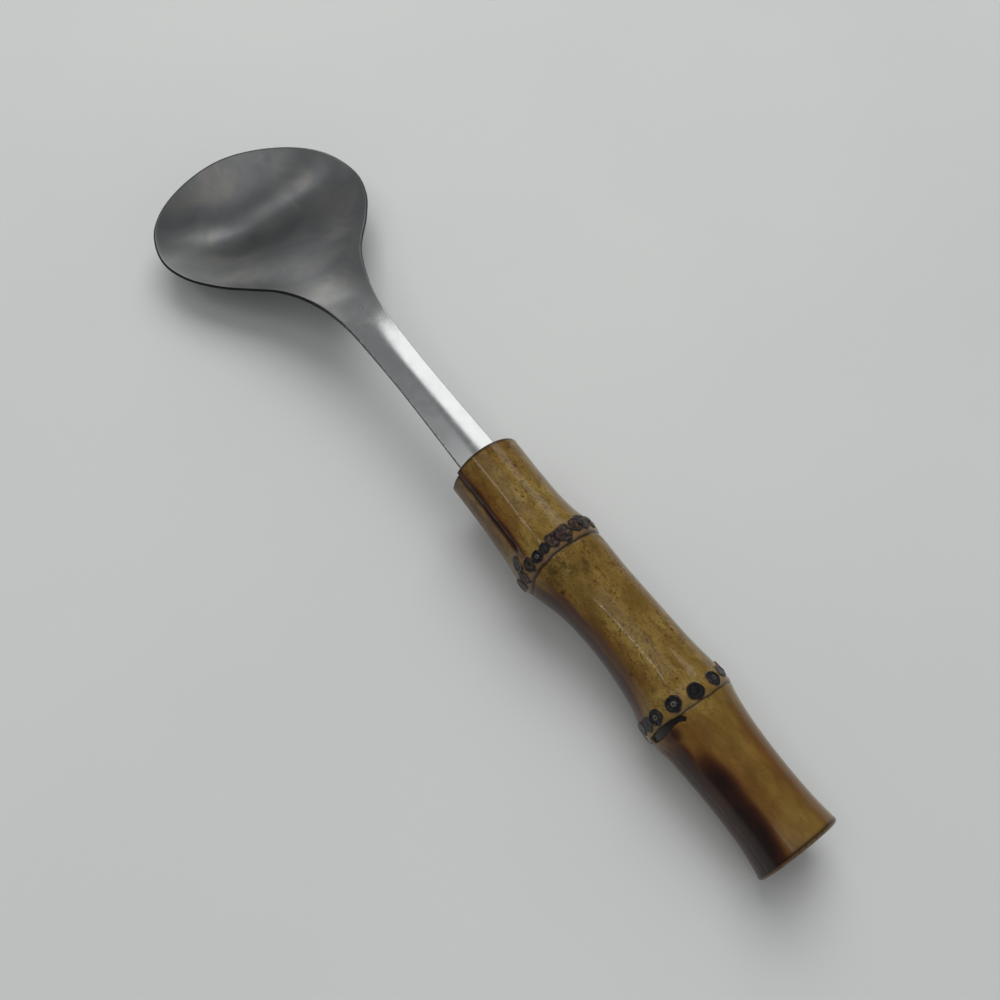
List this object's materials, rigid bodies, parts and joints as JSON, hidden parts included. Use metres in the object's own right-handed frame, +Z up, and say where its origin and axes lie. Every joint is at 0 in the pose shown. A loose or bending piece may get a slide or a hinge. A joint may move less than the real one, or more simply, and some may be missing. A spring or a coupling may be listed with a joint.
{
  "type": "salad serving spoon",
  "caption": "Salad serving spoon: a wide satin steel bowl on a flat waisted shank, its tang cemented into a lacquered bamboo root handle with ringed nodes.",
  "frame": {"origin": "on the table under the middle of the spoon's box, as it rests on its bowl and butt", "axes": "+X from the handle's butt towards the bowl's far rim, +Y to the left, +Z up from the table"},
  "size_m": [0.2788, 0.0722, 0.0313],
  "materials": {
    "satin_steel": "stamped stainless sheet, satin inside the bowl, brighter on the shank",
    "lacquered_bamboo": "flame-toned bamboo root under clear gloss lacquer",
    "tang_resin": "dark set resin"
  },
  "bodies": {
    "root": {"spoon_head": "satin_steel", "bamboo_handle": "lacquered_bamboo", "tang_cement": "tang_resin"}
  },
  "joints": []
}
